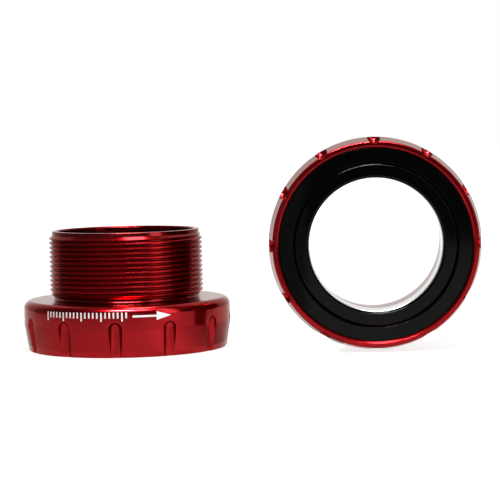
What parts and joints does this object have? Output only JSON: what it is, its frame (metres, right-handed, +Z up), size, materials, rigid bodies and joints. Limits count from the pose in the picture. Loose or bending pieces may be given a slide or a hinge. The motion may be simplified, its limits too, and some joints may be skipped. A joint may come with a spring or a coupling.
{
  "type": "bicycle bottom bracket",
  "caption": "Threaded external-cup bottom bracket: two red flanged cups with notched rims, each holding a sealed ball bearing and a black cover round an open spindle bore.",
  "frame": {"origin": "centre of the bottom of the pair's bounding box, on the surface that both cups stand on", "axes": "+Z up, +X from the left cup towards the right cup; the left cup's axis is parallel to Z with its barrel up, and the right cup's axis is parallel to Y with its barrel towards +Y and its outboard face towards -Y"},
  "size_m": [0.103, 0.0468, 0.0468],
  "materials": {
    "red_anodised": "satin red anodised, turned",
    "black_anodised": "satin black anodised",
    "bearing_steel": "ground and polished",
    "ceramic": "polished silicon nitride",
    "cage_plastic": "moulded",
    "white_print": "thin printed ink",
    "seal_rubber": "moulded, matt"
  },
  "bodies": {
    "left_fixed": {"left_cup": "red_anodised", "left_bearing_outer_race": "bearing_steel", "left_outboard_seal": "seal_rubber", "left_inboard_seal": "seal_rubber", "left_bearing_cover": "black_anodised"},
    "left_rotor": {"left_spindle_ring": "black_anodised", "left_bearing_inner_race": "bearing_steel"},
    "left_ball_set": {"left_ball_cage": "cage_plastic", "left_ball_01": "ceramic", "left_ball_02": "ceramic", "left_ball_03": "ceramic", "left_ball_04": "ceramic", "left_ball_05": "ceramic", "left_ball_06": "ceramic", "left_ball_07": "ceramic", "left_ball_08": "ceramic", "left_ball_09": "ceramic", "left_ball_10": "ceramic", "left_ball_11": "ceramic", "left_ball_12": "ceramic", "left_ball_13": "ceramic", "left_ball_14": "ceramic", "left_ball_15": "ceramic", "left_ball_16": "ceramic", "left_ball_17": "ceramic", "left_ball_18": "ceramic"},
    "right_fixed": {"right_cup": "red_anodised", "right_bearing_outer_race": "bearing_steel", "right_outboard_seal": "seal_rubber", "right_inboard_seal": "seal_rubber", "right_bearing_cover": "black_anodised"},
    "right_rotor": {"right_spindle_ring": "black_anodised", "right_bearing_inner_race": "bearing_steel"},
    "right_ball_set": {"right_ball_cage": "cage_plastic", "right_ball_01": "ceramic", "right_ball_02": "ceramic", "right_ball_03": "ceramic", "right_ball_04": "ceramic", "right_ball_05": "ceramic", "right_ball_06": "ceramic", "right_ball_07": "ceramic", "right_ball_08": "ceramic", "right_ball_09": "ceramic", "right_ball_10": "ceramic", "right_ball_11": "ceramic", "right_ball_12": "ceramic", "right_ball_13": "ceramic", "right_ball_14": "ceramic", "right_ball_15": "ceramic", "right_ball_16": "ceramic", "right_ball_17": "ceramic", "right_ball_18": "ceramic"}
  },
  "joints": [
    {"name": "left_spindle_spin", "type": "hinge", "parent": "left_fixed", "child": "left_rotor", "pos_m": [-0.0281, 0, 0.0053], "axis": [0, 0, 1], "continuous": true},
    {"name": "left_ball_orbit", "type": "hinge", "parent": "left_fixed", "child": "left_ball_set", "pos_m": [-0.0281, 0, 0.0053], "axis": [0, 0, 1], "continuous": true},
    {"name": "right_cup_lift", "type": "slide", "parent": "left_fixed", "child": "right_fixed", "axis": [0, 0, 1], "range_m": [0, 0.06]},
    {"name": "right_spindle_spin", "type": "hinge", "parent": "right_fixed", "child": "right_rotor", "pos_m": [0.0281, -0.0143, 0.0234], "axis": [0, 1, 0], "continuous": true},
    {"name": "right_ball_orbit", "type": "hinge", "parent": "right_fixed", "child": "right_ball_set", "pos_m": [0.0281, -0.0143, 0.0234], "axis": [0, 1, 0], "continuous": true}
  ],
  "couplings": [
    {"joint": "left_ball_orbit", "follows": "left_spindle_spin", "ratio": 0.4559},
    {"joint": "right_ball_orbit", "follows": "right_spindle_spin", "ratio": 0.4559}
  ]
}
